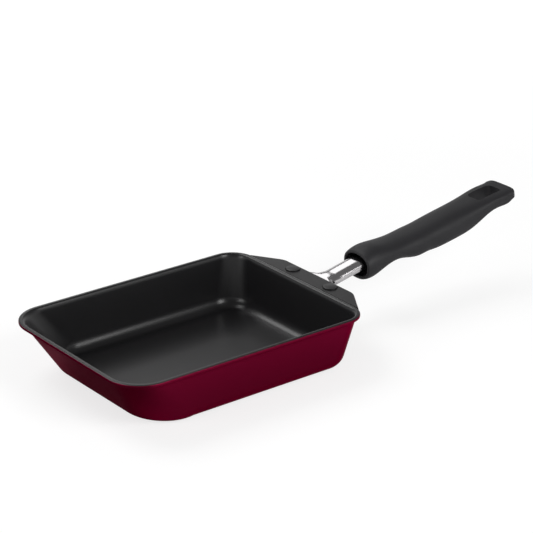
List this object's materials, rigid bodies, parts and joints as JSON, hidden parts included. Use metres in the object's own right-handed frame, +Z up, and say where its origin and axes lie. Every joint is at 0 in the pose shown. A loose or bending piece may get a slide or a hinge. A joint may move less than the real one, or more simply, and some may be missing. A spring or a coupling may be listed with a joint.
{
  "type": "tamagoyaki pan",
  "caption": "Small rectangular omelette pan with a sloping serving wall, a flat riveted tab, a stamped steel neck and a moulded handle with a hanging hole.",
  "frame": {"origin": "on the flat base, under the middle of the rim without its tab", "axes": "+X along the handle, +Y across the pan, +Z up"},
  "size_m": [0.3722, 0.14, 0.0637],
  "materials": {
    "coated_body": "metallic crimson outside, black nonstick coating inside and on the lip and tab, on aluminium",
    "neck_steel": "polished stainless steel",
    "coated_rivet": "black coated aluminium rivet head",
    "handle_moulding": "fine matte black phenolic moulding",
    "screw_steel": "plain zinc-plated steel"
  },
  "bodies": {
    "root": {"pan_body": "coated_body", "neck_bracket": "neck_steel", "rivets": "coated_rivet", "handle_grip": "handle_moulding", "handle_screw": "screw_steel", "lock_washer": "screw_steel"}
  },
  "joints": []
}
